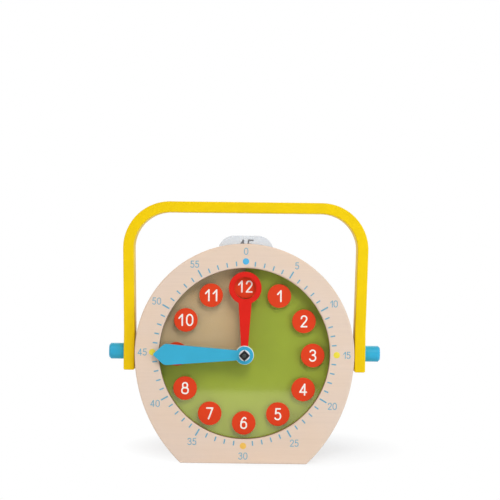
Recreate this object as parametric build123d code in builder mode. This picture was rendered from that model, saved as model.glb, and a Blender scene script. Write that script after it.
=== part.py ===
from build123d import *
from math import asin, cos, degrees, radians, sin, sqrt
import os

# Teaching clock with hands that are set by hand.
# Three wooden layers stand on a flat base: a front ring, a thin guide that leaves a card slot,
# and a back board. A clear plate in the ring's rebate carries twelve hour discs and the axle
# of both hands. A picture card drops into the slot behind the plate, and a strap handle swings
# on two pegs in the body's sides.
# Millimetres. +Z is up, the dial faces -Y, and the origin is the centre of the resting face.

os.makedirs("parts", exist_ok=True)

# ---- Body outline: a round top, wider side arcs and a flat base ----
outline_radius = 88.0
side_radius = 122.0
dial_height = 88.0  # centre of the ring above the resting face
base_corner_round = 1.4
edge_ease = 1.1  # rounding of the wood's exposed edges

# ---- Card with its printed three-quarter sector ----
card_thickness = 0.8
tint_thickness = 0.2
card_gap = 0.3  # round the card, at its faces and at its edge
card_overlap = 4.6  # how far the card reaches behind the window's edge
tint_margin = 0.5  # bare edge of the card round the sector
tab_width = 45.0
tab_round = 13.0
tab_rise = 6.5  # tab above the top of the body

# ---- Body layers ----
ring_thickness = 9.0
board_thickness = 17.4
guide_thickness = card_thickness + tint_thickness + 2 * card_gap
body_depth = ring_thickness + guide_thickness + board_thickness

# ---- Window and clear plate ----
rim_width = 19.6  # wood round the window
plate_overlap = 7.6  # how far the plate reaches behind the window's edge
plate_thickness = 3.0
plate_drop = 1.2  # the plate sits on the bottom of a rebate that is this much wider
plate_fit = 0.1

# ---- Hour discs ----
hour_count = 12
disc_radius = 9.5
disc_thickness = 0.8
disc_ease = 0.25

# ---- Axle stack ----
axle_radius = 1.5
axle_head_radius = 2.8
axle_fit = 0.05  # radial running clearance of everything on the axle
axle_end = 0.6  # thread that shows past the nut
axle_chamfer = 0.3
hand_play = 0.1  # at each face of a hand
hand_ease = 0.35
disc_clearance = 1.3  # hour hand in front of the discs
rear_spacer_radius = 5.0
middle_spacer_radius = 7.5
ring_clearance = 1.2  # minute hand in front of the ring
washer_radius = 4.4
washer_thickness = 0.8
nut_flats = 6.2
nut_thickness = 2.8
nut_corner = 0.4

# ---- Hour hand ----
hour_hand_thickness = 2.5
hour_head_radius = 13.1
hour_head_clearance = 0.4  # to the window's edge at six o'clock
hour_window_radius = 8.8
hour_neck_width = 11.0
hour_root_width = 4.8
disc_shift = 1.1  # hour discs further out than the hand's head
hour_hub_radius = 5.8

# ---- Minute hand ----
minute_hand_thickness = 2.8
minute_hub_radius = 7.1
minute_root_width = 7.0
minute_wide_width = 16.8
minute_point = 10.4  # shoulder arcs' centres to the tip
minute_shoulder_round = 4.5
minute_tip_round = 1.3
minute_overlap = 4.4  # how far the tip reaches over the ring

# ---- Body screws ----
screw_radius = 1.6
screw_head_radius = 3.1
screw_bite = 5.5  # length in the front ring
screw_tip = 2.0
screw_point_radius = 0.3
screw_fit = 0.05
rim_screw_angles = (14, -35)  # degrees from the handle's axis
corner_screw_height = 10.4  # above the resting face
corner_screw_inset = 14.0  # from the corner of the base
cross_length = 3.4
cross_width = 0.8
cross_depth = 0.9

# ---- Handle and its pegs ----
strap_thickness = 8.7
strap_width = 21.0
strap_ease = 0.9
grip_room = 18.3  # between the card's tab and the underside of the bar
grip_corner_radius = 29.0  # inside the bend
leg_tail = 14.6  # below the axis
leg_end_round = 1.2
lean_start = 18.0  # above the axis
lean_round = 60.0
leg_spread = 2.3  # how far a leg leans out on its way up
peg_radius = 6.4
peg_head_length = 12.1
peg_chamfer = 1.4
spigot_radius = 4.0
spigot_depth = 12.0
spigot_fit = 0.06
spigot_end_gap = 0.3
thrust_thickness = 1.0
thrust_radius = 6.0
seat_depth = 0.5  # flat seat of a friction washer, sunk in the body's side
seat_margin = 0.3
leg_play = 0.1

# ---- Depths, front to back along Y ----
body_front = -body_depth / 2
ring_back = body_front + ring_thickness
board_front = ring_back + guide_thickness
body_back = board_front + board_thickness
plate_front = ring_back - plate_thickness
card_back = board_front - card_gap
card_front = card_back - card_thickness
disc_front = plate_front - disc_thickness
hour_hand_back = disc_front - disc_clearance
rear_spacer_front = hour_hand_back + hand_play
rear_spacer_thickness = plate_front - rear_spacer_front
hour_hand_front = hour_hand_back - hour_hand_thickness
minute_hand_back = body_front - ring_clearance
minute_hand_front = minute_hand_back - minute_hand_thickness
middle_spacer_back = hour_hand_front - hand_play
middle_spacer_thickness = middle_spacer_back - minute_hand_back - hand_play
washer_back = minute_hand_front - hand_play
washer_front = washer_back - washer_thickness
nut_front = washer_front - nut_thickness
axle_front = nut_front - axle_end

# ---- Sizes that follow ----
window_radius = outline_radius - rim_width
card_radius = window_radius + card_overlap
guide_radius = card_radius + card_gap
plate_radius = window_radius + plate_overlap
rebate_radius = plate_radius + plate_drop + plate_fit
axle_height = dial_height - plate_drop
head_circle = window_radius - plate_drop - hour_head_clearance - hour_head_radius
disc_circle = head_circle + disc_shift
minute_reach = window_radius + minute_overlap
minute_shoulder = minute_reach - minute_point
screw_circle = (rebate_radius + outline_radius) / 2
side_centre = side_radius - outline_radius
base_angle = degrees(asin(dial_height / side_radius))
base_half_width = side_radius * cos(radians(base_angle)) - side_centre
axle_bore = axle_radius + axle_fit
screw_hole = screw_radius + screw_fit
screw_length = board_thickness + guide_thickness + screw_bite
tab_reach = outline_radius + tab_rise
grip_reach = tab_reach + grip_room
handle_depth = body_back - strap_width / 2
seat_reach = outline_radius - seat_depth
seat_radius = thrust_radius + seat_margin
leg_inner = seat_reach + thrust_thickness + leg_play
leg_middle = leg_inner + strap_thickness / 2
peg_head_inner = leg_inner + strap_thickness + leg_play
peg_end = peg_head_inner + peg_head_length


def facing_front(depth, height=dial_height):
    """Upright plane that looks out of the dial, centred at a height."""
    return Plane(origin=(0, depth, height), x_dir=(1, 0, 0), z_dir=(0, -1, 0))


def facing_back(depth, height=dial_height):
    """Upright plane that looks out of the back, centred at a height."""
    return Plane(origin=(0, depth, height), x_dir=(-1, 0, 0), z_dir=(0, 1, 0))


def facing_side(side, reach):
    """Plane across the handle's axis, looking out of one side."""
    return Plane(
        origin=(side * reach, handle_depth, dial_height),
        x_dir=(0, side, 0),
        z_dir=(side, 0, 0),
    )


def cut_washer_seats():
    """Flat seats for the friction washers, in whichever layer they reach."""
    for side in (-1, 1):
        with Locations(facing_side(side, seat_reach)):
            Cylinder(
                radius=seat_radius,
                height=thrust_thickness,
                align=(Align.CENTER, Align.CENTER, Align.MIN),
                mode=Mode.SUBTRACT,
            )


# Screw places in the rim and in the corners of the base, the same on both sides.
screw_places = []
for side in (-1, 1):
    for angle in rim_screw_angles:
        across = side * screw_circle * cos(radians(angle))
        screw_places.append((across, screw_circle * sin(radians(angle))))
    across = side * (base_half_width - corner_screw_inset)
    screw_places.append((across, corner_screw_height - dial_height))

# Outline shared by the three layers, drawn about the ring's centre.
with BuildSketch() as outline:
    with BuildLine():
        CenterArc((-side_centre, 0), side_radius, -base_angle, base_angle)
        CenterArc((0, 0), outline_radius, 0, 180)
        CenterArc((side_centre, 0), side_radius, 180, base_angle)
        Line((-base_half_width, -dial_height), (base_half_width, -dial_height))
    make_face()
    fillet(outline.vertices().group_by(Axis.Y)[0], radius=base_corner_round)

# ---- Body ----

with BuildPart() as front_ring:
    with BuildSketch(facing_front(ring_back)):
        add(outline.sketch)
        Circle(window_radius, mode=Mode.SUBTRACT)
    extrude(amount=ring_thickness)
    fillet(front_ring.faces().sort_by(Axis.Y)[0].edges(), radius=edge_ease)
    # Rebate that holds the clear plate
    with BuildSketch(facing_front(ring_back)):
        Circle(rebate_radius)
    extrude(amount=plate_thickness, mode=Mode.SUBTRACT)
    with Locations(facing_back(ring_back)):
        with Locations(*screw_places):
            Hole(radius=screw_hole, depth=screw_bite + screw_fit)
    cut_washer_seats()
front_ring.part.label = "front_ring"
export_step(front_ring.part, "parts/front_ring.step")

with BuildPart() as card_guide:
    with BuildSketch(facing_front(board_front)):
        add(outline.sketch)
        Circle(guide_radius, mode=Mode.SUBTRACT)
        with Locations((0, outline_radius / 2)):
            Rectangle(2 * guide_radius, outline_radius, mode=Mode.SUBTRACT)
    extrude(amount=guide_thickness)
    with Locations(facing_back(board_front)):
        with Locations(*screw_places):
            Hole(radius=screw_hole)
    cut_washer_seats()
card_guide.part.label = "card_guide"
export_step(card_guide.part, "parts/card_guide.step")

with BuildPart() as back_board:
    with BuildSketch(facing_front(body_back)):
        add(outline.sketch)
    extrude(amount=board_thickness)
    fillet(back_board.faces().sort_by(Axis.Y)[-1].edges(), radius=edge_ease)
    with Locations(facing_back(body_back)):
        with Locations(*screw_places):
            CounterSinkHole(
                radius=screw_hole,
                counter_sink_radius=screw_head_radius + screw_fit,
                counter_sink_angle=90,
            )
    cut_washer_seats()
    # Blind holes for the pegs
    for side in (-1, 1):
        with BuildSketch(facing_side(side, outline_radius)):
            Circle(spigot_radius + spigot_fit)
        extrude(amount=-spigot_depth - spigot_end_gap, mode=Mode.SUBTRACT)
back_board.part.label = "back_board"
export_step(back_board.part, "parts/back_board.step")

with BuildPart() as case_screws:
    with Locations(facing_back(body_back)):
        with Locations(*screw_places):
            Cone(
                bottom_radius=screw_radius,
                top_radius=screw_head_radius,
                height=screw_head_radius - screw_radius,
                align=(Align.CENTER, Align.CENTER, Align.MAX),
            )
            Cylinder(
                radius=screw_radius,
                height=screw_length - screw_tip,
                align=(Align.CENTER, Align.CENTER, Align.MAX),
            )
    with Locations(facing_back(body_back - screw_length)):
        with Locations(*screw_places):
            Cone(
                bottom_radius=screw_point_radius,
                top_radius=screw_radius,
                height=screw_tip,
                align=(Align.CENTER, Align.CENTER, Align.MIN),
            )
    # Cross recesses in the heads
    with BuildSketch(facing_back(body_back)):
        with Locations(*screw_places):
            Rectangle(cross_length, cross_width)
            Rectangle(cross_width, cross_length)
    extrude(amount=-cross_depth, mode=Mode.SUBTRACT)
case_screws.part.label = "case_screws"
export_step(case_screws.part, "parts/case_screws.step")

# ---- Dial ----

with BuildPart() as dial_plate:
    with BuildSketch(facing_front(ring_back, axle_height)):
        Circle(plate_radius)
    extrude(amount=plate_thickness)
    with Locations(facing_back(ring_back, axle_height)):
        CounterSinkHole(
            radius=axle_bore,
            counter_sink_radius=axle_head_radius + axle_fit,
            counter_sink_angle=90,
        )
dial_plate.part.label = "dial_plate"
export_step(dial_plate.part, "parts/dial_plate.step")

for hour in range(1, hour_count + 1):
    turn = radians(360 * hour / hour_count)
    with BuildPart() as hour_disc:
        with BuildSketch(facing_front(plate_front, axle_height)):
            with Locations((disc_circle * sin(turn), disc_circle * cos(turn))):
                Circle(disc_radius)
        extrude(amount=disc_thickness)
        fillet(hour_disc.faces().sort_by(Axis.Y)[0].edges(), radius=disc_ease)
    hour_disc.part.label = f"hour_disc_{hour:02d}"
    export_step(hour_disc.part, f"parts/hour_disc_{hour:02d}.step")

# ---- Card ----

with BuildPart() as card_sheet:
    with BuildSketch(facing_front(card_back)):
        Circle(card_radius)
        with Locations((0, tab_reach / 2)):
            RectangleRounded(tab_width, tab_reach, tab_round)
    extrude(amount=card_thickness)
card_sheet.part.label = "card_sheet"
export_step(card_sheet.part, "parts/card_sheet.step")

with BuildPart() as card_tint:
    with BuildSketch(facing_front(card_front)):
        Circle(card_radius - tint_margin)
        with Locations((-card_radius / 2, card_radius / 2)):
            Rectangle(card_radius, card_radius, mode=Mode.SUBTRACT)
    extrude(amount=tint_thickness)
card_tint.part.label = "card_tint"
export_step(card_tint.part, "parts/card_tint.step")

# ---- Axle and hands, back to front ----

with BuildPart() as axle_screw:
    with BuildSketch(facing_front(ring_back, axle_height)):
        Circle(axle_radius)
    extrude(amount=ring_back - axle_front)
    chamfer(axle_screw.faces().sort_by(Axis.Y)[0].edges(), length=axle_chamfer)
    with Locations(facing_back(ring_back, axle_height)):
        Cone(
            bottom_radius=axle_radius,
            top_radius=axle_head_radius,
            height=axle_head_radius - axle_radius,
            align=(Align.CENTER, Align.CENTER, Align.MAX),
        )
axle_screw.part.label = "axle_screw"
export_step(axle_screw.part, "parts/axle_screw.step")

with BuildPart() as rear_spacer:
    with BuildSketch(facing_front(plate_front, axle_height)):
        Circle(rear_spacer_radius)
        Circle(axle_bore, mode=Mode.SUBTRACT)
    extrude(amount=rear_spacer_thickness)
rear_spacer.part.label = "rear_spacer"
export_step(rear_spacer.part, "parts/rear_spacer.step")

with BuildPart() as hour_hand:
    with BuildSketch(facing_front(hour_hand_back, axle_height)):
        Polygon(
            (-hour_root_width / 2, 0),
            (hour_root_width / 2, 0),
            (hour_neck_width / 2, head_circle - hour_window_radius),
            (-hour_neck_width / 2, head_circle - hour_window_radius),
            align=None,
        )
        Circle(hour_hub_radius)
        with Locations((0, head_circle)):
            Circle(hour_head_radius)
            Circle(hour_window_radius, mode=Mode.SUBTRACT)
        Circle(axle_bore, mode=Mode.SUBTRACT)
    extrude(amount=hour_hand_thickness)
    fillet(hour_hand.faces().sort_by(Axis.Y)[0].outer_wire().edges(), radius=hand_ease)
hour_hand.part.label = "hour_hand"
export_step(hour_hand.part, "parts/hour_hand.step")

with BuildPart() as middle_spacer:
    with BuildSketch(facing_front(middle_spacer_back, axle_height)):
        Circle(middle_spacer_radius)
        Circle(axle_bore, mode=Mode.SUBTRACT)
    extrude(amount=middle_spacer_thickness)
middle_spacer.part.label = "middle_spacer"
export_step(middle_spacer.part, "parts/middle_spacer.step")

# The hand's arm widens to its shoulders and closes to a blunt point, all in tangent lines.
with BuildSketch() as minute_arm:
    Circle(minute_root_width / 2)
    with Locations(
        (minute_wide_width / 2 - minute_shoulder_round, minute_shoulder),
        (minute_shoulder_round - minute_wide_width / 2, minute_shoulder),
    ):
        Circle(minute_shoulder_round)
    with Locations((0, minute_reach - minute_tip_round)):
        Circle(minute_tip_round)
    make_hull()

with BuildPart() as minute_hand:
    with BuildSketch(facing_front(minute_hand_back, axle_height)):
        with Locations(Rotation(0, 0, 90)):
            add(minute_arm.sketch)
        Circle(minute_hub_radius)
        Circle(axle_bore, mode=Mode.SUBTRACT)
    extrude(amount=minute_hand_thickness)
    fillet(minute_hand.faces().sort_by(Axis.Y)[0].outer_wire().edges(), radius=hand_ease)
minute_hand.part.label = "minute_hand"
export_step(minute_hand.part, "parts/minute_hand.step")

with BuildPart() as front_washer:
    with BuildSketch(facing_front(washer_back, axle_height)):
        Circle(washer_radius)
        Circle(axle_bore, mode=Mode.SUBTRACT)
    extrude(amount=washer_thickness)
front_washer.part.label = "front_washer"
export_step(front_washer.part, "parts/front_washer.step")

with BuildPart() as retaining_nut:
    with BuildSketch(facing_front(washer_front, axle_height)) as nut_face:
        Rectangle(nut_flats, nut_flats, rotation=45)
        fillet(nut_face.vertices(), radius=nut_corner)
        Circle(axle_bore, mode=Mode.SUBTRACT)
    extrude(amount=nut_thickness)
retaining_nut.part.label = "retaining_nut"
export_step(retaining_nut.part, "parts/retaining_nut.step")

# ---- Handle ----

leg_line = [
    (leg_middle, -leg_tail),
    (leg_middle, lean_start),
    (leg_middle + leg_spread, grip_reach + strap_thickness / 2),
]
strap_line = leg_line + [(-across, up) for across, up in reversed(leg_line)]
grip_middle_radius = grip_corner_radius + strap_thickness / 2

with BuildPart() as handle:
    with BuildSketch(facing_front(body_back)) as strap_face:
        with BuildLine():
            FilletPolyline(
                *strap_line,
                radius=[lean_round, grip_middle_radius, grip_middle_radius, lean_round],
            )
        trace(line_width=strap_thickness)
        fillet(strap_face.vertices().group_by(Axis.Y)[0], radius=leg_end_round)
    extrude(amount=strap_width)
    fillet(handle.faces().filter_by(Axis.Y).edges(), radius=strap_ease)
    with BuildSketch(facing_side(1, 0)):
        Circle(spigot_radius + spigot_fit)
    extrude(amount=leg_middle + strap_thickness, both=True, mode=Mode.SUBTRACT)
handle.part.label = "handle"
export_step(handle.part, "parts/handle.step")

for side, side_name in ((-1, "left"), (1, "right")):
    with BuildPart() as thrust_washer:
        with BuildSketch(facing_side(side, seat_reach)):
            Circle(thrust_radius)
            Circle(spigot_radius + spigot_fit, mode=Mode.SUBTRACT)
        extrude(amount=thrust_thickness)
    thrust_washer.part.label = f"{side_name}_washer"
    export_step(thrust_washer.part, f"parts/{side_name}_washer.step")

    with BuildPart() as peg:
        with BuildSketch(facing_side(side, peg_head_inner)):
            Circle(peg_radius)
        extrude(amount=peg_head_length)
        outward = Axis((0, 0, 0), (side, 0, 0))
        chamfer(peg.faces().sort_by(outward)[-1].edges(), length=peg_chamfer)
        with BuildSketch(facing_side(side, outline_radius - spigot_depth)):
            Circle(spigot_radius)
        extrude(amount=peg_head_inner - outline_radius + spigot_depth)
    peg.part.label = f"{side_name}_peg"
    export_step(peg.part, f"parts/{side_name}_peg.step")

print(f"base {2 * base_half_width:.1f} wide, {body_depth:.1f} deep")
print(f"pegs {2 * peg_end:.1f} across, top of handle {dial_height + grip_reach + strap_thickness:.1f}")
print(f"middle spacer {middle_spacer_thickness:.2f} thick, screws {screw_length:.1f} long")
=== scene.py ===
# %% [markdown]
# # A teaching clock: print, paint and wood
#
# The solid model gives this clock its true sizes and its moving parts. This lesson dresses it:
# it prints the minute scale and the numerals, turns the small hardware on a lathe, and gives
# each part its finish. Nothing here moves a solid part or changes its shape.
#
# The order is the workbench, the finishes, the prints, the hardware and then the studio.
# Sizes are in metres. Up is +Z, and the dial looks along -Y.

# %% Load the solid model
from math import cos, pi, radians, sin, sqrt

import bpy
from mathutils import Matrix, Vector


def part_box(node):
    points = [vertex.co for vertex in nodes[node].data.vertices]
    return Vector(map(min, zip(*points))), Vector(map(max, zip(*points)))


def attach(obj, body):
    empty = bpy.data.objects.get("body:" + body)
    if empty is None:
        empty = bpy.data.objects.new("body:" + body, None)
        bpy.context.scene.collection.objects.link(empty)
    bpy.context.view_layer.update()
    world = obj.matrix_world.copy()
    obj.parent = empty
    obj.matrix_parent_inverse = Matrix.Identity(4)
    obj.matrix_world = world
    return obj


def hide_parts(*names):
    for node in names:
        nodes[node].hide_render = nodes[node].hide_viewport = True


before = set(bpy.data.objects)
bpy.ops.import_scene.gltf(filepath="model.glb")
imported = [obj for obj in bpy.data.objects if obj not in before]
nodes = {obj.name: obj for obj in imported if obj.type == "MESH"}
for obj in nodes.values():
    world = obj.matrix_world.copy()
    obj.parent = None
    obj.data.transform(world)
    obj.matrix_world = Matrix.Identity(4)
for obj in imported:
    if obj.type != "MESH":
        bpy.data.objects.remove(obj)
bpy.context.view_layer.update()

MM = 0.001

# %% [markdown]
# ## Where things are
#
# A print lies on a face and a nut sits on an axle, so their places are read from the solid
# parts. If the solid clock changes, the dress follows it.

# %% Read the places from the solid parts


def middle(node):
    """The middle of a solid part's box."""
    low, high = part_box(node)
    return (low + high) / 2


def front(node):
    """The depth of a solid part's front face."""
    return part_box(node)[0].y


def back(node):
    """The depth of a solid part's back face."""
    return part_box(node)[1].y


scale_centre = Vector((0, front("front_ring"), middle("left_peg").z))
axle_centre = Vector((0, 0, middle("retaining_nut").z))
body_back = back("back_board")
window_radius = min(
    sqrt(corner.co.x ** 2 + (corner.co.z - scale_centre.z) ** 2)
    for corner in nodes["front_ring"].data.vertices
)
disc_names = {hour: f"hour_disc_{hour:02d}" for hour in range(1, 13)}
print(f"scale centre {scale_centre.z / MM:.1f} mm up, axle {axle_centre.z / MM:.1f} mm up")
print(f"window radius {window_radius / MM:.1f} mm")

# %% [markdown]
# ## The workbench
#
# Blender's operators act on whatever is selected, and the solid parts arrive selected. So each
# helper starts by letting go of everything. A test on a face or an edge then picks what to
# shape by its place, as a hand would pick it in the window.

# %% Helpers that pick and settle a piece
SAME_PLACE = 0.001 * MM  # corners closer than this are one corner


def let_go():
    """Leaves edit mode and deselects everything."""
    if bpy.context.mode != "OBJECT":
        bpy.ops.object.mode_set(mode="OBJECT")
    bpy.ops.object.select_all(action="DESELECT")


def take(*pieces):
    """Selects these pieces and makes the last one active."""
    let_go()
    for piece in pieces:
        piece.select_set(True)
    bpy.context.view_layer.objects.active = pieces[-1]


def open_edges(piece, wanted):
    """Opens a piece in edit mode with the edges selected whose two ends pass a test."""
    take(piece)
    bpy.context.tool_settings.mesh_select_mode = (False, True, False)
    bpy.ops.object.mode_set(mode="EDIT")
    bpy.ops.mesh.select_all(action="DESELECT")
    bpy.ops.object.mode_set(mode="OBJECT")
    corners = piece.data.vertices
    for edge in piece.data.edges:
        start, end = (corners[i].co for i in edge.vertices)
        edge.select = wanted(start, end)
    bpy.ops.object.mode_set(mode="EDIT")


def open_corners(piece, wanted):
    """Opens a piece in edit mode with the corners selected that pass a test."""
    take(piece)
    bpy.context.tool_settings.mesh_select_mode = (True, False, False)
    bpy.ops.object.mode_set(mode="EDIT")
    bpy.ops.mesh.select_all(action="DESELECT")
    bpy.ops.object.mode_set(mode="OBJECT")
    for corner in piece.data.vertices:
        corner.select = wanted(corner.co)
    bpy.ops.object.mode_set(mode="EDIT")


def add_modifier(piece, kind, **settings):
    """Adds a modifier with its settings and applies it."""
    take(piece)
    bpy.ops.object.modifier_add(type=kind)
    modifier = piece.modifiers[-1]
    for name, value in settings.items():
        setattr(modifier, name, value)
    bpy.ops.object.modifier_apply(modifier=modifier.name)


def settle(piece, name):
    """Puts a piece's place, turn and size into its mesh, with its origin in the row's own."""
    take(piece)
    bpy.ops.object.transform_apply(location=True, rotation=True, scale=True)
    piece.name = piece.data.name = name
    return piece


def copy_of(piece):
    """A copy with a mesh of its own."""
    take(piece)
    bpy.ops.object.duplicate(linked=False)
    return bpy.context.active_object


def throw_away(*pieces):
    """Deletes pieces that were only tools or patterns."""
    take(*pieces)
    bpy.ops.object.delete()


def combine(piece, tool, operation="DIFFERENCE", merge=SAME_PLACE):
    """Cuts, joins or intersects a piece with a tool, and throws the tool away."""
    add_modifier(piece, "BOOLEAN", operation=operation, object=tool, solver="EXACT")
    throw_away(tool)
    open_corners(piece, lambda corner: True)
    bpy.ops.mesh.remove_doubles(threshold=merge)
    bpy.ops.object.mode_set(mode="OBJECT")


print("workbench ready")

# %% [markdown]
# A finished piece needs three things: its finish, smooth shading that stays crisp at sharp
# edges, and the body that it rides on.

# %% Dress a finished piece
CRISP_ANGLE = radians(32)


def dress(piece, finish, body):
    """Gives a new piece its finish, shading and body."""
    take(piece)
    bpy.ops.object.shade_smooth_by_angle(angle=CRISP_ANGLE)
    piece.data.materials.clear()
    piece.data.materials.append(finish)
    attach(piece, body)
    return piece


def coat(finish, *names):
    """Gives solid parts a finish in place of the plain one that they came with."""
    for name in names:
        for place in nodes[name].material_slots:
            place.material = finish


print("dress and coat ready")

# %% [markdown]
# ## Finishes
#
# Each finish is a small sheet of nodes on Object coordinates, so its grain stays at one scale
# on every part and moves with the part. Writing node wiring by hand is wordy, so two helpers
# shorten it: one adds a node with its inputs, the other does sums.

# %% Helpers for node sheets


def chip(red, green, blue):
    """A paint chip, 0 to 255, as the linear colour that a shader takes."""
    def linear(value):
        share = value / 255
        return share / 12.92 if share <= 0.04045 else ((share + 0.055) / 1.055) ** 2.4
    return (linear(red), linear(green), linear(blue), 1.0)


def tone(paint, amount):
    """The same paint, lighter or darker by a factor."""
    return (*(min(1.0, value * amount) for value in paint[:3]), 1.0)


def sheet(name):
    """A new finish: its node tree and its main shader."""
    finish = bpy.data.materials.new(name)
    finish.use_nodes = True
    return finish, finish.node_tree.nodes["Principled BSDF"]


def wire(finish, kind, inputs=None, **settings):
    """Adds a node. An input may be a value or another node's socket."""
    made = finish.node_tree.nodes.new(kind)
    for name, value in settings.items():
        setattr(made, name, value)
    for name, value in (inputs or {}).items():
        if isinstance(value, bpy.types.NodeSocket):
            finish.node_tree.links.new(value, made.inputs[name])
        else:
            made.inputs[name].default_value = value
    return made


def feed(finish, shader, **sockets):
    """Links sockets into a shader's inputs; an underscore in a name stands for a space."""
    for name, socket in sockets.items():
        finish.node_tree.links.new(socket, shader.inputs[name.replace("_", " ")])


def sums(finish, operation, first, second=0.0):
    """One sum on two values or sockets."""
    return wire(finish, "ShaderNodeMath", {0: first, 1: second}, operation=operation).outputs[0]


def blend_colours(finish, share, first, second, mode="MIX"):
    """Mixes two colours or colour sockets."""
    made = wire(finish, "ShaderNodeMix", data_type="RGBA", blend_type=mode)
    for slot, value in ((0, share), (6, first), (7, second)):
        if isinstance(value, bpy.types.NodeSocket):
            finish.node_tree.links.new(value, made.inputs[slot])
        else:
            made.inputs[slot].default_value = value
    return made.outputs[2]


def distance(finish, place):
    """How far a place is from the zero of its coordinates."""
    made = wire(finish, "ShaderNodeVectorMath", {0: place}, operation="LENGTH")
    return made.outputs["Value"]


def spread(finish, value, low, high, from_low=0.0, from_high=1.0):
    """Maps a value from one range to another, held inside both."""
    inputs = {"Value": value, "From Min": from_low, "From Max": from_high}
    inputs.update({"To Min": low, "To Max": high})
    return wire(finish, "ShaderNodeMapRange", inputs).outputs[0]


def speckle(finish, scale, detail=4.0, roughness=0.55, turn=(0, 0, 0)):
    """Noise on Object coordinates. Scale is lumps per metre along X, Y and Z."""
    place = wire(finish, "ShaderNodeTexCoord").outputs["Object"]
    inputs = {"Vector": place, "Scale": scale, "Rotation": turn}
    stretched = wire(finish, "ShaderNodeMapping", inputs).outputs[0]
    inputs = {"Vector": stretched, "Scale": 1.0, "Detail": detail, "Roughness": roughness}
    return wire(finish, "ShaderNodeTexNoise", inputs).outputs["Fac"]


def relief(finish, height, depth, strength=1.0):
    """Turns a height from 0 to 1 into bumps of a real depth in metres."""
    inputs = {"Height": height, "Distance": depth, "Strength": strength}
    return wire(finish, "ShaderNodeBump", inputs).outputs[0]


print("node helpers ready")

# %% [markdown]
# ### Pale plywood
#
# The ring, the guide and the board are cut from pale plywood. From the front it is one veneer,
# whose grain runs across the clock. On the edges the plies show as thin stripes, long grain and
# end grain in turn, with a fine dark glue line between them. All of that could be painted on an
# unwrapped edge, but the depth along Y already says which ply a point is in. So one sheet of
# nodes does faces and edges alike, and it also reaches inside the window and the card slot.
# Wood at the window's radius, which is the window's wall, is painted dark brown as painted shade
# that darkens the rim of the recess.
# The number of plies is odd, so both outer plies have their long grain in the face.

# %% Pale plywood


def plywood(name, node, plies, veneer, core, inner=None, window=None):
    """Plywood with its plies along Y. Its front face may differ; its window wall has painted
    shade.
    """
    finish, shader = sheet(name)
    streaks = speckle(finish, (14, 420, 520), detail=5, roughness=0.62)
    clouds = speckle(finish, (16, 30, 34), detail=2)
    pores = speckle(finish, (190, 2600, 3100), detail=1)
    end_grain = speckle(finish, (1500, 900, 1500), detail=3)

    place = wire(finish, "ShaderNodeTexCoord").outputs["Object"]
    depth = wire(finish, "ShaderNodeSeparateXYZ", {0: place}).outputs["Y"]
    ply = (back(node) - front(node)) / (plies - 2 * SANDED)
    into = sums(finish, "SUBTRACT", depth, front(node) - SANDED * ply)
    count = sums(finish, "DIVIDE", into, ply)
    cross_ply = sums(finish, "FLOORED_MODULO", sums(finish, "FLOOR", count), 2.0)
    from_middle = sums(finish, "SUBTRACT", sums(finish, "FRACT", count), 0.5)
    glue = spread(finish, sums(finish, "ABSOLUTE", from_middle), 0.0, 0.5, 0.455, 0.495)

    first_ply = spread(finish, count, 1.0, 0.0, 0.5, 0.6)
    wood = blend_colours(finish, first_ply, veneer, inner or veneer)
    shade = spread(finish, streaks, 0.972, 1.02, 0.3, 0.7)
    shaded = {0: wood, "Scale": shade}
    long_grain = wire(finish, "ShaderNodeVectorMath", shaded, operation="SCALE").outputs[0]
    long_grain = blend_colours(
        finish, spread(finish, clouds, 0.0, 0.3, 0.35, 0.7), long_grain, core, mode="SOFT_LIGHT"
    )
    dark_pores = spread(finish, pores, 0.0, 0.08, 0.64, 0.76)
    long_grain = blend_colours(finish, dark_pores, long_grain, tone(core, 0.7))
    short_grain = blend_colours(
        finish, spread(finish, end_grain, 0, 1, 0.35, 0.65), tone(core, 0.80), tone(core, 1.0)
    )
    plies_seen = blend_colours(finish, cross_ply, long_grain, short_grain)
    colour = blend_colours(finish, glue, plies_seen, tone(core, 0.35))
    # Painted shade: wood at the window's radius, its wall, turns dark brown so the rim of the
    # recess reads darker.
    if window:
        flat = {"Vector": place, "Location": (0, 0, -scale_centre.z), "Scale": (1, 0, 1)}
        flat_place = wire(finish, "ShaderNodeMapping", flat).outputs[0]
        out = distance(finish, flat_place)
        wall_shade_share = spread(finish, out, 0.85, 0.0, window + WALL_SHADE_FULL, window + WALL_SHADE_END)
        colour = blend_colours(finish, wall_shade_share, colour, WALL_SHADE_BROWN)
    grain = sums(finish, "SUBTRACT", streaks, sums(finish, "MULTIPLY", dark_pores, 2.0))
    feed(
        finish, shader,
        Base_Color=colour,
        Roughness=spread(finish, streaks, 0.62, 0.5, 0.3, 0.7),
        Normal=relief(finish, grain, 0.00005),
    )
    shader.inputs["Specular IOR Level"].default_value = 0.35
    return finish


SANDED = 0.2  # share of each outer ply that sanding took off
# Dark brown painted shade for the window's wall, strongest at its radius and gone a tenth of a
# millimetre out.
WALL_SHADE_BROWN = chip(112, 76, 42)
WALL_SHADE_FULL, WALL_SHADE_END = 0.02 * MM, 0.12 * MM  # depths into the window's wall
VENEER, CORE = chip(229, 205, 187), chip(214, 184, 152)
ring_wood = plywood("ring_plywood", "front_ring", 7, VENEER, CORE, window=window_radius)
board_wood = plywood("board_plywood", "back_board", 11, VENEER, CORE, inner=chip(250, 212, 160))
guide_wood = plywood("guide_plywood", "card_guide", 1, chip(205, 176, 138), chip(176, 146, 108))
coat(ring_wood, "front_ring")
coat(board_wood, "back_board")
coat(guide_wood, "card_guide")
print("plywood on three layers: 7, 11 and 1 plies")

# %% [markdown]
# ### Satin paint
#
# The handle, the pegs and both hands are wood under a satin paint. Paint hides the wood's
# colour but not its relief: long shallow streaks still show in the sheen, with a fine orange
# peel from the spray gun over them. Film thickness wanders a little too, which shifts the
# colour by a few parts in a hundred. A flat colour with a gloss value would look like plastic.

# %% Satin paint


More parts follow.
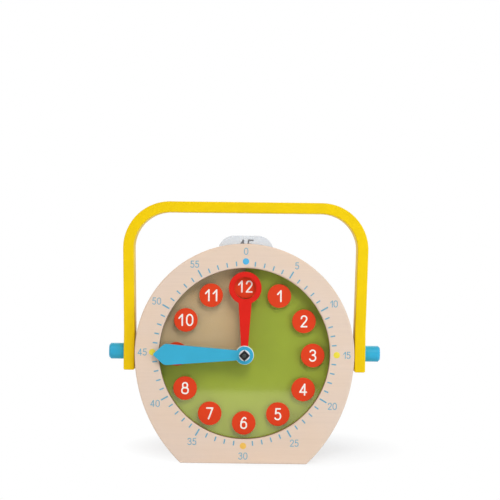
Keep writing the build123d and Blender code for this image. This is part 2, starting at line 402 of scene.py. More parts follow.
def satin_paint(name, paint, streak_scale, gloss=0.42):
    """Paint over wood whose grain runs along the axis with the smallest streak scale."""
    finish, shader = sheet(name)
    grain = speckle(finish, streak_scale, detail=4, roughness=0.6)
    peel = speckle(finish, (1900, 1900, 1900), detail=1)
    film = speckle(finish, (55, 55, 55), detail=3)
    colour = blend_colours(
        finish, spread(finish, film, 0, 1, 0.35, 0.65), tone(paint, 0.97), tone(paint, 1.02)
    )
    thin = spread(finish, grain, 0.0, 0.07, 0.60, 0.75)
    colour = blend_colours(finish, thin, colour, tone(paint, 0.86))
    streaks, dimples = sums(finish, "MULTIPLY", grain, 0.7), sums(finish, "MULTIPLY", peel, 0.3)
    surface = sums(finish, "ADD", streaks, dimples)
    feed(
        finish, shader,
        Base_Color=colour,
        Roughness=spread(finish, film, gloss + 0.05, gloss - 0.05, 0.3, 0.7),
        Normal=relief(finish, surface, 0.00003),
    )
    shader.inputs["Specular IOR Level"].default_value = 0.16
    return finish


ALONG_X = (25, 700, 700)
ALONG_Z = (700, 700, 25)
yellow_paint = satin_paint("yellow_paint", chip(244, 205, 0), (60, 60, 500))
peg_paint = satin_paint("peg_paint", chip(56, 174, 214), ALONG_X)
blue_paint = satin_paint("blue_hand_paint", chip(60, 173, 208), ALONG_X)
red_paint = satin_paint("red_hand_paint", chip(224, 34, 22), ALONG_Z)
disc_paint = satin_paint("red_disc_paint", chip(226, 64, 26), (300, 300, 300), gloss=0.5)
coat(yellow_paint, "handle")
coat(peg_paint, "left_peg", "right_peg")
coat(blue_paint, "minute_hand")
coat(red_paint, "hour_hand")
coat(disc_paint, *disc_names.values())
print("paint on the handle, two pegs, two hands and twelve discs")

# %% [markdown]
# ### Clear plate, card film and its green print
#
# The plate over the card is clear acrylic: it lets nearly all light through and returns about
# a twenty-fifth at each face, more at a slant. A glass shader would do that too, but it also
# bends light, and the hollow behind the plate would go dark without caustics. So Fresnel mixes
# a Transparent shader with a Glossy one, which keeps the dial bright and the reflections true.
# The plate's two faces and the film behind them count as three, so what passes is the third
# power of what passes one. The film is a little yellow, and warms what comes back.

# %% Clear plate
FACES = 3.0


def clear_plate_finish(name, tint, sheen, roughness):
    """Clear sheet: see-through, with a reflection that grows towards a slant."""
    finish, shader = sheet(name)
    finish.node_tree.nodes.remove(shader)
    scratches = speckle(finish, (90, 400, 1400), detail=2, turn=(0, 0.7, 0))
    surface = relief(finish, scratches, 0.0000015)
    gloss = wire(
        finish, "ShaderNodeBsdfGlossy",
        {"Color": sheen, "Roughness": roughness, "Normal": surface},
    ).outputs[0]
    through = wire(finish, "ShaderNodeBsdfTransparent", {"Color": tint}).outputs[0]
    fresnel = wire(finish, "ShaderNodeFresnel", {"IOR": 1.49}).outputs[0]
    behind = wire(finish, "ShaderNodeNewGeometry").outputs["Backfacing"]
    outside = sums(finish, "SUBTRACT", 1.0, behind)
    passed = sums(finish, "POWER", sums(finish, "SUBTRACT", 1.0, fresnel), FACES)
    share = sums(finish, "MULTIPLY", sums(finish, "SUBTRACT", 1.0, passed), outside)
    mixed = wire(finish, "ShaderNodeMixShader", {0: share, 1: through, 2: gloss}).outputs[0]
    finish.node_tree.links.new(mixed, finish.node_tree.nodes["Material Output"].inputs[0])
    return finish


plate_finish = clear_plate_finish(
    "clear_acrylic", (0.985, 0.99, 0.985, 1), (1.0, 0.97, 0.66, 1), 0.06
)
coat(plate_finish, "dial_plate")
print("clear plate in place")

# %% [markdown]
# The card is a thin clear film. Its tab is frosted, so that it can be seen and gripped, and
# the part behind the window is clear. The green sector is screen printed and not quite solid,
# so the wood behind warms it. Both read the height or a noise, and nothing from the camera.

# %% Card film and green print


def film_finish(name, frost, frost_from, frost_to):
    """Clear film that turns frosty between two heights."""
    finish, shader = sheet(name)
    place = wire(finish, "ShaderNodeTexCoord").outputs["Object"]
    height = wire(finish, "ShaderNodeSeparateXYZ", {0: place}).outputs["Z"]
    haze = speckle(finish, (700, 700, 700), detail=3)
    frosted = spread(finish, height, 0.03, 0.45, frost_from, frost_to)
    cover = sums(finish, "MULTIPLY", frosted, spread(finish, haze, 0.94, 1.06, 0.3, 0.7))
    shader.inputs["Base Color"].default_value = frost
    feed(
        finish, shader,
        Alpha=cover,
        Roughness=spread(finish, haze, 0.32, 0.42, 0.3, 0.7),
        Normal=relief(finish, haze, 0.00001),
    )
    return finish


def print_finish(name, print_colour, cover):
    """Screen print on film: even colour with faint clouds and pinholes."""
    finish, shader = sheet(name)
    clouds = speckle(finish, (38, 38, 38), detail=3)
    mesh_marks = speckle(finish, (2400, 2400, 2400), detail=1)
    cloudy = spread(finish, clouds, 0, 1, 0.35, 0.65)
    colour = blend_colours(finish, cloudy, tone(print_colour, 0.95), tone(print_colour, 1.04))
    pinholes = spread(finish, mesh_marks, 0.0, 0.12, 0.55, 0.75)
    colour = blend_colours(finish, pinholes, colour, tone(print_colour, 1.25))
    shader.inputs["Alpha"].default_value = cover
    feed(
        finish, shader,
        Base_Color=colour,
        Roughness=spread(finish, mesh_marks, 0.36, 0.5, 0.3, 0.7),
        Normal=relief(finish, mesh_marks, 0.00001),
    )
    return finish


FROST_FROM, FROST_FULL = 12 * MM, 4 * MM  # below the top of the ring
tab_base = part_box("front_ring")[1].z
frost = chip(219, 225, 233)
film = film_finish("card_film", frost, tab_base - FROST_FROM, tab_base - FROST_FULL)
green_print = print_finish("green_print", chip(188, 202, 68), 0.85)
coat(film, "card_sheet")
coat(green_print, "card_tint")
print(f"film frosted above {tab_base / MM:.0f} mm, green print over three quarters")

# %% [markdown]
# ### Inks
#
# The scale and the numerals are printed. Ink lies on the wood or the paint as a skin a few
# hundredths of a millimetre thick, a little uneven where the screen left pinholes.

# %% Inks


def ink(name, colour, roughness=0.5):
    """Printing ink with faint pinholes."""
    finish, shader = sheet(name)
    pinholes = speckle(finish, (2600, 2600, 2600), detail=2)
    shade = blend_colours(
        finish, spread(finish, pinholes, 0, 1, 0.35, 0.7), tone(colour, 0.94), tone(colour, 1.08)
    )
    feed(
        finish, shader,
        Base_Color=shade,
        Roughness=spread(finish, pinholes, roughness - 0.05, roughness + 0.08, 0.3, 0.7),
        Normal=relief(finish, pinholes, 0.00001),
    )
    return finish


numeral_ink = ink("numeral_ink_blue", chip(110, 168, 190))
mark_ink = ink("mark_ink_blue", chip(104, 166, 190))
sky_ink = ink("dot_ink_sky", chip(80, 180, 226))
yellow_ink = ink("dot_ink_yellow", chip(240, 218, 60))
amber_ink = ink("dot_ink_amber", chip(242, 190, 84))
white_ink = ink("hour_ink_white", chip(252, 244, 236), roughness=0.42)
grey_ink = ink("card_ink_grey", chip(122, 122, 126))
print("seven inks mixed")

# %% [markdown]
# ### Small hardware
#
# The nut is blackened, the axle and the screws are zinc plated, and the spacers are white
# nylon. On pieces this small a cloudy roughness does most of the work: a machined face never
# shines evenly.

# %% Metal, nylon and fibre


def hardware(name, colour, metallic, roughness, wander, grain=2200):
    """Metal or plastic with an uneven sheen."""
    finish, shader = sheet(name)
    clouds = speckle(finish, (grain, grain, grain), detail=4)
    shade = blend_colours(
        finish, spread(finish, clouds, 0, 1, 0.3, 0.7), tone(colour, 0.85), tone(colour, 1.1)
    )
    shader.inputs["Metallic"].default_value = metallic
    feed(
        finish, shader,
        Base_Color=shade,
        Roughness=spread(finish, clouds, roughness + wander, roughness - wander, 0.3, 0.7),
        Normal=relief(finish, clouds, 0.00001),
    )
    return finish


zinc = hardware("zinc_plate", (0.50, 0.48, 0.46, 1), 1.0, 0.34, 0.08)
dull_zinc = hardware("axle_end_zinc", (0.13, 0.15, 0.14, 1), 1.0, 0.42, 0.08)
black_oxide = hardware("black_oxide", chip(30, 29, 30), 0.0, 0.36, 0.08)
nylon = hardware("white_nylon", chip(250, 250, 248), 0.0, 0.5, 0.06, grain=900)
fibre = hardware("hard_fibre", chip(96, 68, 48), 0.0, 0.7, 0.05, grain=1500)
coat(fibre, "left_washer", "right_washer")
print("five hardware finishes")

# %% [markdown]
# ## Numerals
#
# The numerals have round ends and one even width, as a round pen would draw them. Blender's
# own font has serifs on its 1 and square ends, so the ten digits are drawn here instead. Each
# stroke is a curve with a round bevel, closed by a ball at each open end, and the whole digit
# is then pressed almost flat. Points are in digit heights, along the middle of the pen.

# %% The ten digits as pen strokes
PEN = 0.143  # pen width in heights of the pen's path
SLIVER = 0.0003  # a union's slivers thinner than this are closed
LOOP_LEAN = 0.08


def oval(across, up, half_width, half_height):
    """Eight points round an upright oval, a little squarer than an ellipse."""
    diagonal = sqrt(0.5) + LOOP_LEAN * 0.5
    points = []
    for right, rise in (
        (0, 1), (-diagonal, diagonal), (-1, 0), (-diagonal, -diagonal),
        (0, -1), (diagonal, -diagonal), (1, 0), (diagonal, diagonal),
    ):
        points.append((across + right * half_width, up + rise * half_height))
    return points


SIX_TAIL = [(0.45, 0.91), (0.33, 1.0), (0.17, 0.9), (0.05, 0.66), (0.0, 0.36)]
DIGITS = {
    "0": (0.55, [("loop", oval(0.275, 0.5, 0.275, 0.5))]),
    "1": (0.30, [("line", [(0.0, 0.66), (0.30, 1.0)]), ("line", [(0.30, 1.0), (0.30, 0.0)])]),
    "2": (0.52, [
        ("bend", [
            (0.02, 0.76), (0.09, 0.93), (0.27, 1.0), (0.45, 0.92), (0.51, 0.74),
            (0.43, 0.53), (0.23, 0.28), (0.01, 0.0),
        ]),
        ("line", [(0.01, 0.0), (0.52, 0.0)]),
    ]),
    "3": (0.55, [
        ("bend", [
            (0.04, 0.85), (0.13, 0.96), (0.28, 1.0), (0.45, 0.93), (0.51, 0.77),
            (0.44, 0.61), (0.25, 0.545),
        ]),
        ("bend", [
            (0.25, 0.545), (0.46, 0.47), (0.55, 0.27), (0.46, 0.07), (0.27, 0.0),
            (0.10, 0.04), (0.0, 0.16),
        ]),
    ]),
    "4": (0.60, [
        ("line", [(0.44, 1.0), (0.0, 0.26)]),
        ("line", [(0.0, 0.26), (0.60, 0.26)]),
        ("line", [(0.44, 1.0), (0.44, 0.0)]),
    ]),
    "5": (0.50, [
        ("line", [(0.46, 1.0), (0.08, 1.0)]),
        ("line", [(0.08, 1.0), (0.04, 0.56)]),
        ("bend", [
            (0.04, 0.56), (0.23, 0.63), (0.43, 0.54), (0.50, 0.32), (0.43, 0.09),
            (0.24, 0.0), (0.09, 0.03), (0.0, 0.13),
        ]),
    ]),
    "6": (0.51, [("bend", SIX_TAIL), ("loop", oval(0.255, 0.3, 0.255, 0.3))]),
    "7": (0.54, [("line", [(0.0, 1.0), (0.54, 1.0)]), ("line", [(0.54, 1.0), (0.17, 0.0)])]),
    "8": (0.58, [
        ("loop", oval(0.29, 0.765, 0.22, 0.235)),
        ("loop", oval(0.29, 0.275, 0.29, 0.275)),
    ]),
    "9": (0.51, [
        ("bend", [(0.51 - across, 1.0 - up) for across, up in SIX_TAIL]),
        ("loop", oval(0.255, 0.7, 0.255, 0.3)),
    ]),
}
print(f"{len(DIGITS)} digits, {sum(len(strokes) for _, strokes in DIGITS.values())} strokes")

# %% [markdown]
# A stroke starts as Blender's own curve, whose points are then set. Straight strokes keep their
# corners and bends run smoothly through their points. A Boolean union then joins the strokes of
# a digit, so its ink is one closed skin.

# %% Draw one stroke and close its ends


def pen_stroke(kind, points):
    """One stroke of the round pen, as a mesh that stands in the XZ plane."""
    let_go()
    bpy.ops.curve.primitive_bezier_curve_add(location=(0, 0, 0))
    stroke = bpy.context.active_object
    spline = stroke.data.splines[0]
    spline.bezier_points.add(len(points) - 2)
    for knot, (across, up) in zip(spline.bezier_points, points):
        knot.co = (across, 0, up)
        knot.handle_left_type = knot.handle_right_type = "VECTOR" if kind == "line" else "AUTO"
    spline.use_cyclic_u = kind == "loop"
    stroke.data.bevel_depth = PEN / 2
    stroke.data.bevel_resolution = 3
    stroke.data.resolution_u = 1 if kind == "line" else 6
    stroke.data.use_fill_caps = kind != "loop"
    take(stroke)
    bpy.ops.object.convert(target="MESH")
    parts = [bpy.context.active_object]
    if kind != "loop":
        for across, up in (points[0], points[-1]):
            bpy.ops.mesh.primitive_uv_sphere_add(
                segments=16, ring_count=10, radius=PEN / 2, location=(across, 0, up)
            )
            parts.append(bpy.context.active_object)
    return parts


def draw_digit(character):
    """All strokes of one digit, fused into one skin."""
    parts = []
    for kind, points in DIGITS[character][1]:
        parts += pen_stroke(kind, points)
    skin = parts[0]
    for part in parts[1:]:
        combine(skin, part, "UNION", merge=SLIVER)
    return settle(skin, f"pattern_{character}")


patterns = {character: draw_digit(character) for character in DIGITS}
print("patterns:", {c: len(p.data.polygons) for c, p in patterns.items()})

# %% [markdown]
# A number is copies of its digits set side by side. The copies are scaled to the number's
# height, and pressed until the ink stands only a few hundredths of a millimetre off the face.
# Half of that skin lies inside the face, so that no gap shows from the side.

# %% Set a number on a face
INK_RISE = 0.05 * MM
WIDE_GAP, CLOSE_GAP = 0.42, 0.25  # between two digits, in heights of the pen's path


def set_number(number, height, centre, name, gap=WIDE_GAP):
    """A printed number, upright, centred on a point of a face that looks along -Y."""
    size = height / (1 + PEN)
    wide = sum(DIGITS[c][0] for c in number) + gap * (len(number) - 1)
    start = -wide / 2
    copies = []
    for character in number:
        digit = copy_of(patterns[character])
        digit.scale = (size, INK_RISE / (PEN / 2), size)
        digit.location = centre + Vector((start * size, 0, -size / 2))
        start += DIGITS[character][0] + gap
        copies.append(digit)
    take(*copies)
    if len(copies) > 1:
        bpy.ops.object.join()
    return settle(bpy.context.active_object, name)


HOUR_HEIGHT = 9.8 * MM
for hour, disc in disc_names.items():
    centre = middle(disc)
    centre.y = front(disc)
    number = set_number(str(hour), HOUR_HEIGHT, centre, f"hour_number_{hour:02d}")
    dress(number, white_ink, "body")
print(f"twelve hour numbers, {HOUR_HEIGHT / MM:.1f} mm high")

# %% [markdown]
# ## Minute scale
#
# The ring carries sixty places: a short mark for each minute, a longer one for every fifth,
# and a coloured dot at each quarter. A number stands upright outside every fifth place. One
# short mark is shaped from a cube and spun into a set of four, and that set into all twelve.
# The Array modifier could do it too, but spin needs no helper object to turn about.

# %% Minute marks
SHORT_MARK = (1.05 * MM, 3.9 * MM)
LONG_MARK = (1.2 * MM, 6.4 * MM)
MARK_INSIDE = 70.1 * MM
MARK_ROUND = 0.4 * MM
PRINT_TURN = 0.25  # degrees by which the printed scale sits askew on the ring


def scale_place(minute, radius):
    """A place on the ring's face, and the turn that it has on the scale."""
    turn = radians(6 * minute + PRINT_TURN)
    return scale_centre + Vector((radius * sin(turn), 0, radius * cos(turn))), turn


def round_about(piece, copies, angle):
    """Spins copies of a piece about the scale's centre, clockwise as seen from the front."""
    take(piece)
    bpy.ops.object.mode_set(mode="EDIT")
    bpy.ops.mesh.select_all(action="SELECT")
    bpy.ops.mesh.spin(
        steps=copies, dupli=True, angle=radians(angle), center=scale_centre, axis=(0, -1, 0)
    )
    bpy.ops.object.mode_set(mode="OBJECT")


def first_mark(size, minute):
    """A printed bar with round ends, at its minute on the scale."""
    width, length = size
    place, turn = scale_place(minute, MARK_INSIDE + length / 2)
    let_go()
    bpy.ops.mesh.primitive_cube_add(size=1, location=place, rotation=(0, turn, 0))
    mark = bpy.context.active_object
    mark.scale = (width, 2 * INK_RISE, length)
    bpy.ops.object.transform_apply(location=False, rotation=False, scale=True)
    open_edges(mark, lambda start, end: abs(start.y - end.y) > INK_RISE)
    bpy.ops.mesh.bevel(offset=MARK_ROUND, segments=4)
    bpy.ops.object.mode_set(mode="OBJECT")
    return settle(mark, "mark")


minute_marks = first_mark(SHORT_MARK, 1)
round_about(minute_marks, 3, 18)
round_about(minute_marks, 11, 330)
minute_marks = settle(minute_marks, "minute_marks")
five_minute_marks = first_mark(LONG_MARK, 5)
round_about(five_minute_marks, 1, 30)
round_about(five_minute_marks, 3, 270)
five_minute_marks = settle(five_minute_marks, "five_minute_marks")
for marks in (minute_marks, five_minute_marks):
    dress(marks, mark_ink, "body")
    print(marks.name, len(marks.data.polygons), "faces")

# %% [markdown]
# A dot is a short cylinder, half sunk in the ring, with its edge eased as a drop of ink has it.

# %% Quarter dots
DOT_RADIUS = 2.6 * MM
DOT_CIRCLE = 73.8 * MM
DOT_EASE = 0.03 * MM


def quarter_dot(minute, finish):
    """A printed dot in place of the mark at a quarter."""
    place, _ = scale_place(minute, DOT_CIRCLE)
    let_go()
    bpy.ops.mesh.primitive_cylinder_add(
        vertices=40, radius=DOT_RADIUS, depth=2 * INK_RISE, location=place, rotation=(pi / 2, 0, 0)
    )
    dot = settle(bpy.context.active_object, f"quarter_dot_{minute:02d}")
    proud = scale_centre.y
    open_edges(dot, lambda start, end: start.y < proud and end.y < proud)
    bpy.ops.mesh.bevel(offset=DOT_EASE, segments=2)
    bpy.ops.object.mode_set(mode="OBJECT")
    dress(dot, finish, "body")


quarter_dot(0, sky_ink)
quarter_dot(15, yellow_ink)
quarter_dot(30, amber_ink)
quarter_dot(45, yellow_ink)
print("four quarter dots")

# %% [markdown]
# The minute numbers all stand upright, on one circle outside the marks.

# %% Minute numbers
MINUTE_HEIGHT = 5.7 * MM
NUMBER_CIRCLE = 81.9 * MM

numbers = []
for minute in range(0, 60, 5):
    centre, _ = scale_place(minute, NUMBER_CIRCLE)
    numbers.append(set_number(str(minute), MINUTE_HEIGHT, centre, "number", CLOSE_GAP))
take(*numbers)
bpy.ops.object.join()
minute_numbers = settle(bpy.context.active_object, "minute_numbers")
dress(minute_numbers, numeral_ink, "body")
print(f"twelve minute numbers, {MINUTE_HEIGHT / MM:.1f} mm high")

# %% [markdown]
# The card's tab says how many minutes its green sector covers. The number is printed on the
# front of the film, and most of it stands above the ring.

# %% Number on the card's tab
TAB_HEIGHT = 10.0 * MM
TAB_NUMBER_UP = 174.5 * MM

tab_place = Vector((0, front("card_sheet"), TAB_NUMBER_UP))
card_number = set_number("45", TAB_HEIGHT, tab_place, "card_number", CLOSE_GAP)
dress(card_number, grey_ink, "card")
throw_away(*patterns.values())
print("card number in place, patterns thrown away")

# %% [markdown]
# ## Turned hardware
#
# Washers, spacers, screws and the axle are all turned parts: half a section, spun once round
# an axis. The section is drawn as a chain of points, each extruded from the last, and the spin
# operator turns it. The doubles on the axis are merged and the faces made to point outwards.
# A section is a list of (radius, distance along the axis) in millimetres.

# %% A lathe


def turned(section, centre, along, steps=48, closed=False):
    """Spins half a section about an axis through a point. Along is -1 towards the front."""
    let_go()
    bpy.ops.mesh.primitive_plane_add(size=MM, location=(0, 0, 0))
    piece = bpy.context.active_object
    open_corners(piece, lambda corner: True)
    bpy.ops.mesh.merge(type="CENTER")
    places = [Vector((radius * MM, along * step * MM, 0)) + centre for radius, step in section]
    bpy.ops.mesh.select_all(action="SELECT")
    bpy.ops.transform.translate(value=places[0])
    for before, after in zip(places, places[1:]):
        bpy.ops.mesh.extrude_vertices_move(TRANSFORM_OT_translate={"value": after - before})
    if closed:
        ends = (places[0], places[-1])
        open_corners(piece, lambda corner: any((corner - end).length < SAME_PLACE for end in ends))
        bpy.ops.mesh.edge_face_add()
    bpy.ops.mesh.select_all(action="SELECT")
    bpy.ops.mesh.spin(steps=steps, angle=2 * pi, center=centre, axis=(0, 1, 0))
    bpy.ops.mesh.select_all(action="SELECT")
    bpy.ops.mesh.remove_doubles(threshold=SAME_PLACE)
    bpy.ops.mesh.normals_make_consistent(inside=False)
    bpy.ops.object.mode_set(mode="OBJECT")
    return piece


def ring_section(bore, outside, thick, ease):
    """A flat ring's section with eased corners, from the back face forwards."""
    return [
        (bore, ease), (bore + ease, 0), (outside - ease, 0), (outside, ease),
        (outside, thick - ease), (outside - 0.3 * ease, thick - 0.3 * ease),
        (outside - ease, thick), (bore + ease, thick), (bore, thick - ease),
    ]


BORE = 1.56  # a running fit on the axle, in millimetres


def flat_ring(node, ease, name):
    """A turned ring that stands for a solid spacer or washer."""
    low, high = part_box(node)
    outside = (high.x - low.x) / 2 / MM
    centre = Vector((0, high.y, axle_centre.z))
    section = ring_section(BORE, outside, (high.y - low.y) / MM, ease)
    piece = settle(turned(section, centre, -1, closed=True), name)
    dress(piece, nylon, "body")
    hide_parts(node)
    return piece


for node, ease, name in (
    ("front_washer", 0.18, "axle_washer"),
    ("middle_spacer", 0.3, "hand_spacer"),
    ("rear_spacer", 0.25, "dial_spacer"),
):
    made = flat_ring(node, ease, name)
    print(name, len(made.data.polygons), "faces")

# %% [markdown]
# ### Axle
#
# The axle is a countersunk bolt. Its thread shows only past the nut, so the thread is cut as
# plain rings and not as a helix: at half a millimetre of pitch nobody can tell, and rings
# close cleanly.

# %% Axle bolt
axle_low, axle_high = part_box("axle_screw")
axle_length = (axle_high.y - axle_low.y) / MM
head_radius = (axle_high.x - axle_low.x) / 2 / MM
SHANK, ROOT, PITCH, THREAD_TURNS = 1.5, 1.27, 0.5, 12
section = [(0, 0.35), (0.9, 0.35), (1.1, 0), (head_radius - 0.1, 0), (head_radius, 0.12)]
section += [(SHANK, head_radius - 1.4)]
thread_start = axle_length - 0.35 - PITCH * THREAD_TURNS
section += [(SHANK, thread_start)]
for turn_number in range(THREAD_TURNS):
    foot = thread_start + turn_number * PITCH
    section += [(ROOT, foot + 0.25 * PITCH), (ROOT, foot + 0.4 * PITCH)]
    section += [(SHANK, foot + 0.7 * PITCH), (SHANK, foot + 0.9 * PITCH)]
section += [(SHANK, axle_length - 0.3), (SHANK - 0.3, axle_length), (0, axle_length)]
bolt_centre = Vector((0, axle_high.y, axle_centre.z))
axle_bolt = settle(turned(section, bolt_centre, -1, steps=40), "axle_bolt")
dress(axle_bolt, dull_zinc, "body")
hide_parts("axle_screw")
print(f"axle bolt {axle_length:.1f} mm long, {len(axle_bolt.data.polygons)} faces")

# %% [markdown]
# ### Square nut
#
# The nut is square and sits on its corner. A four-sided cylinder gives the block. Its long
# edges are rounded, a cone takes the corners off the front face as on a pressed nut, and the
# threaded hole is cut with a Boolean, with a small lead-in.

# %% Square nut
NUT_ROUND = 0.3 * MM
CORNER_CUT = 0.17 * MM  # what the rounding takes off each corner
NUT_EASE = 0.08 * MM
CONE_RADIUS = 3.75 * MM  # of the chamfer, at the front face
CONE_SLOPE = 1.6


def nut_block(low, high):
    """The square block on its corner, with its long edges rounded."""
    half = (high.x - low.x) / 2 + CORNER_CUT
    place = ((low.x + high.x) / 2, (low.y + high.y) / 2, (low.z + high.z) / 2)
    let_go()
    bpy.ops.mesh.primitive_cylinder_add(
        vertices=4, radius=half, depth=high.y - low.y, location=place, rotation=(pi / 2, 0, 0)
    )
    block = settle(bpy.context.active_object, "axle_nut")
    open_edges(block, lambda start, end: abs(start.y - end.y) > MM)
    bpy.ops.mesh.bevel(offset=NUT_ROUND, segments=4)
    bpy.ops.object.mode_set(mode="OBJECT")
    return block


def corner_cone(low, high):
    """A shallow cone whose inside is what the chamfer leaves of the block."""
    thick = high.y - low.y
    place = (0, (low.y + high.y) / 2 + thick * 0.5, (low.z + high.z) / 2)
    let_go()
    bpy.ops.mesh.primitive_cone_add(
        vertices=48, radius1=CONE_RADIUS + 2 * thick * CONE_SLOPE, radius2=CONE_RADIUS,
        depth=2 * thick, location=place, rotation=(pi / 2, 0, 0),
    )
    return settle(bpy.context.active_object, "cone_tool")


nut_low, nut_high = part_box("retaining_nut")
axle_nut = nut_block(nut_low, nut_high)
combine(axle_nut, corner_cone(nut_low, nut_high), "INTERSECT")
bore_section = [(0, -0.5), (2.1, -0.5), (1.55, 0.3), (1.55, 2.5), (2.1, 3.3), (0, 3.3)]
bore_tool = turned(bore_section, Vector((0, nut_high.y, axle_centre.z)), -1, steps=40)
combine(axle_nut, bore_tool)
add_modifier(
    axle_nut, "BEVEL", width=NUT_EASE, segments=2, limit_method="ANGLE", angle_limit=radians(28)
)
dress(axle_nut, black_oxide, "body")
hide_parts("retaining_nut")
print(f"square nut, {len(axle_nut.data.polygons)} faces")

# %% [markdown]
# ### Case screws
#
# Six wood screws hold the layers together from behind. One is turned with a slightly domed
# head, a coarse thread and a point. Its cross recess is two tapered wedges, cut out together.
# The other five are copies, each stopped at its own angle, because nobody lines them up.

# %% One case screw
screw_low, screw_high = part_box("case_screws")
screw_length = (screw_high.y - screw_low.y) / MM
HEAD, NECK, CORE_RADIUS, POINT = 3.1, 1.55, 1.1, 2.2
RIDGES, RIDGE_PITCH, RIDGES_FROM = 11, 1.2, 8.0
screw_section = [(0, 0), (HEAD - 0.5, 0), (HEAD - 0.12, 0.05), (HEAD, 0.18)]
screw_section += [(1.6, 1.55), (NECK, RIDGES_FROM)]
for ridge in range(RIDGES):
    foot = RIDGES_FROM + RIDGE_PITCH * ridge
    screw_section += [(CORE_RADIUS, foot + 0.35), (CORE_RADIUS, foot + 0.75)]
    screw_section += [(1.58, foot + 1.0), (NECK, foot + 1.12)]
screw_section += [(CORE_RADIUS, screw_length - POINT)]
screw_section += [(0.25, screw_length - 0.1), (0, screw_length)]
screw_master = turned(screw_section, Vector((0, 0, 0)), -1, steps=32)


def recess_wedge(angle):
    """One tapered blade of the driver: wide at the face, narrow at its foot."""
    let_go()
    bpy.ops.mesh.primitive_cube_add(size=1, location=(0, -0.55 * MM, 0))
    wedge = bpy.context.active_object
    wedge.scale = (3.5 * MM, 1.5 * MM, 0.85 * MM)
    settle(wedge, "wedge")
    open_corners(wedge, lambda corner: corner.y < -MM)
    bpy.ops.transform.resize(value=(0.45, 1, 0.5), center_override=(0, -1.3 * MM, 0))
    bpy.ops.object.mode_set(mode="OBJECT")
    wedge.rotation_euler = (0, angle, 0)
    return settle(wedge, "wedge")


for blade_angle in (0, pi / 2):
    combine(screw_master, recess_wedge(blade_angle))
print(f"one screw, {screw_length:.1f} mm long, {len(screw_master.data.polygons)} faces")

# %% [markdown]
# All six solid screws share one mesh. Its corners on the back face are sorted into one rim for
# each head, and the middle of a rim is where a screw goes.

# %% Six screws in their holes
ON_FACE = 0.01 * MM  # corners this near the back face lie on it
SAME_HEAD = 8 * MM  # corners closer than this are on one head
STOP_STEP = 37  # degrees between one screw's stop and the next

rims = []
for vertex in nodes["case_screws"].data.vertices:
    corner = vertex.co.copy()
    if abs(corner.y - body_back) < ON_FACE:
        near = [rim for rim in rims if (rim[0] - corner).length < SAME_HEAD]
        if near:
            near[0].append(corner)
        else:
            rims.append([corner])
for number, rim in enumerate(rims, start=1):
    left, right = min(p.x for p in rim), max(p.x for p in rim)
    bottom, top = min(p.z for p in rim), max(p.z for p in rim)
    screw = copy_of(screw_master)
    screw.location = ((left + right) / 2, body_back, (bottom + top) / 2)
    screw.rotation_euler = (0, radians(STOP_STEP * number % 90), 0)
    settle(screw, f"case_screw_{number}")
    dress(screw, zinc, "body")
    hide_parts("case_screws")
throw_away(screw_master)
print(f"{len(rims)} case screws, each at its own angle")

# %% [markdown]
# ## Studio
#
# The clock stands on a plain pale floor in soft light. A large lamp hangs above and in front,
# so that the ring's edge throws its shadow down onto the card, and a soft box stands at each
# side. The lamps light a surface at the level at which its colour shows as it was mixed.

# %% Lamps
DIAL_MIDDLE = Vector((0, 0, 0.09))
WARM, COOL = (1.0, 0.95, 0.84), (0.64, 0.86, 1.0)


def soft_box(name, place, width, height, power, colour=(1, 1, 1)):
    """A rectangular lamp that faces the dial."""
    let_go()
    bpy.ops.object.light_add(type="AREA", location=place)
    lamp = bpy.context.active_object
    lamp.name = name
    lamp.data.shape = "RECTANGLE"
    lamp.data.size, lamp.data.size_y = width, height
    lamp.data.energy = power
    lamp.data.color = colour
    lamp.rotation_euler = (DIAL_MIDDLE - Vector(place)).to_track_quat("-Z", "Y").to_euler()
    return lamp


soft_box("overhead_lamp", (0.66, -2.10, 2.20), 1.43, 1.20, 37)
soft_box("left_lamp", (-1.15, -0.75, 0.45), 0.6, 0.9, 2.7, WARM)
soft_box("right_lamp", (0.85, -0.56, 0.22), 0.45, 0.5, 3.0, COOL)
soft_box("rear_lamp", (0.0, 1.1, 0.9), 0.9, 0.7, 5)
print("four lamps")

# %% [markdown]
# The world gives the fill light. To the camera, and in reflections, it is plain white.

# %% World
world = bpy.data.worlds.new("studio")
bpy.context.scene.world = world
world.use_nodes = True
sky = world.node_tree
sky.nodes.clear()


def sky_node(kind, **settings):
    """Adds a node to the world."""
    made = sky.nodes.new(kind)
    for name, value in settings.items():
        setattr(made, name, value)
    return made


FILL = 0.40
fill = sky_node("ShaderNodeBackground")
fill.inputs["Color"].default_value = (1.0, 0.96, 0.93, 1)
fill.inputs["Strength"].default_value = FILL
white = sky_node("ShaderNodeBackground")
white.inputs["Color"].default_value = (1, 1, 1, 1)
white.inputs["Strength"].default_value = 1.0
ray = sky_node("ShaderNodeLightPath")
seen = sky_node("ShaderNodeMath", operation="MAXIMUM")
shown = sky_node("ShaderNodeMath", operation="MAXIMUM")
choose = sky_node("ShaderNodeMixShader")
out = sky_node("ShaderNodeOutputWorld")
sky.links.new(ray.outputs["Is Camera Ray"], seen.inputs[0])
sky.links.new(ray.outputs["Is Glossy Ray"], seen.inputs[1])
sky.links.new(seen.outputs[0], shown.inputs[0])
sky.links.new(ray.outputs["Is Transmission Ray"], shown.inputs[1])
sky.links.new(shown.outputs[0], choose.inputs[0])
sky.links.new(fill.outputs[0], choose.inputs[1])
sky.links.new(white.outputs[0], choose.inputs[2])
sky.links.new(choose.outputs[0], out.inputs[0])
print(f"world fill {FILL}")
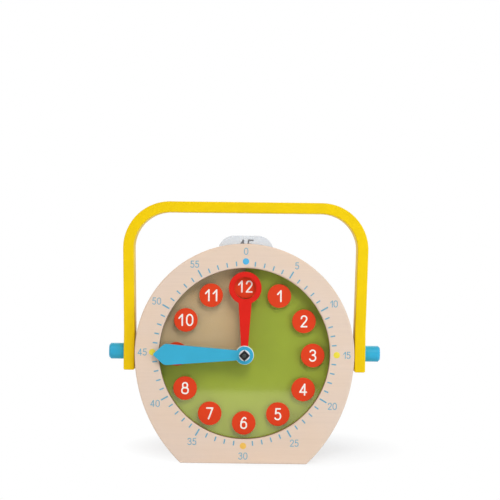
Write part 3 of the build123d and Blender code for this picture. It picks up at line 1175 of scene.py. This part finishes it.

# %% [markdown]
# The floor is white paint that also glows a little for the camera, so it meets the white
# background without a line and still keeps the clock's soft shadow. A dark card stands between
# the camera and the clock, and only reflections see it: it keeps the clear plate from
# mirroring a white room, so the plate shows the table's reflection in its lower part alone.

# %% Floor and dark card
# The glow is painted light: inside an oval round the clock half the floor's look is its lit paint
# with the real shadow, and outside the glow washes the shadow out. The oval sits a little behind
# and to the right of the clock, so more shadow shows on that side.
FLOOR_GLOW = 0.5  # share of glow where the shadow lies; it rises to 1 across an oval's rim
OVAL_SHIFT, OVAL_SHAPE = (-0.015, -0.075, 0), (0.85, 0.8, 1)
OVAL_INNER, OVAL_OUTER = 0.055, 0.105

let_go()
bpy.ops.mesh.primitive_plane_add(size=30, location=(0, 0, 0))
floor = bpy.context.active_object
floor.name = "floor"
floor_paint, floor_shader = sheet("floor_white")
floor_shader.inputs["Base Color"].default_value = (0.90, 0.92, 0.95, 1)
floor_shader.inputs["Roughness"].default_value = 0.9
floor_shader.inputs["Specular IOR Level"].default_value = 0.0
glow = wire(floor_paint, "ShaderNodeEmission", {"Color": (1, 1, 1, 1), "Strength": 1.0})
ray_kind = wire(floor_paint, "ShaderNodeLightPath").outputs
seen_floor = sums(floor_paint, "MAXIMUM", ray_kind["Is Camera Ray"], ray_kind["Is Glossy Ray"])
seen_floor = sums(floor_paint, "MAXIMUM", seen_floor, ray_kind["Is Transmission Ray"])
floor_place = wire(floor_paint, "ShaderNodeTexCoord").outputs["Object"]
inputs = {"Vector": floor_place, "Location": OVAL_SHIFT, "Scale": OVAL_SHAPE}
oval_place = wire(floor_paint, "ShaderNodeMapping", inputs).outputs[0]
away = distance(floor_paint, oval_place)
fade = spread(floor_paint, away, FLOOR_GLOW, 1.0, OVAL_INNER, OVAL_OUTER)
share = sums(floor_paint, "MULTIPLY", seen_floor, fade)
mixed = wire(
    floor_paint, "ShaderNodeMixShader", {0: share, 1: floor_shader.outputs[0], 2: glow.outputs[0]}
)
floor_paint.node_tree.links.new(
    mixed.outputs[0], floor_paint.node_tree.nodes["Material Output"].inputs[0]
)
floor.data.materials.append(floor_paint)

let_go()
bpy.ops.mesh.primitive_plane_add(size=1, location=(0, -0.62, 0.35), rotation=(pi / 2, 0, 0))
dark_card = bpy.context.active_object
dark_card.name = "dark_card"
dark_card.scale = (1.3, 0.7, 1)
dark_paint, dark_shader = sheet("dark_card_cloth")
dark_shader.inputs["Base Color"].default_value = (0.02, 0.02, 0.02, 1)
dark_shader.inputs["Roughness"].default_value = 1.0
dark_card.data.materials.append(dark_paint)
dark_card.visible_camera = dark_card.visible_diffuse = dark_card.visible_shadow = False
dark_card.visible_transmission = False
print("floor and dark card on the stage")

# %% [markdown]
# ## Camera
#
# The camera looks straight at the dial from a little over a metre, at the height of the upper
# part of the ring. It leans by less than a degree, as a camera held by hand does.

# %% Camera
VIEW_DISTANCE = 1.2
VIEW_WIDTH = 0.4
SENSOR = 36.0
RIGHT, UP = 3.4 * MM, 171 * MM
LEAN = radians(-0.7)
let_go()
bpy.ops.object.camera_add(
    location=(RIGHT, scale_centre.y - VIEW_DISTANCE, UP), rotation=(pi / 2, LEAN, 0)
)
camera = bpy.context.active_object
camera.data.sensor_width = SENSOR
camera.data.lens = SENSOR * VIEW_DISTANCE / VIEW_WIDTH
camera.data.clip_start = 0.01
bpy.context.scene.camera = camera
bpy.context.scene.view_settings.view_transform = "Standard"
print(f"camera with a {camera.data.lens:.0f} mm lens")
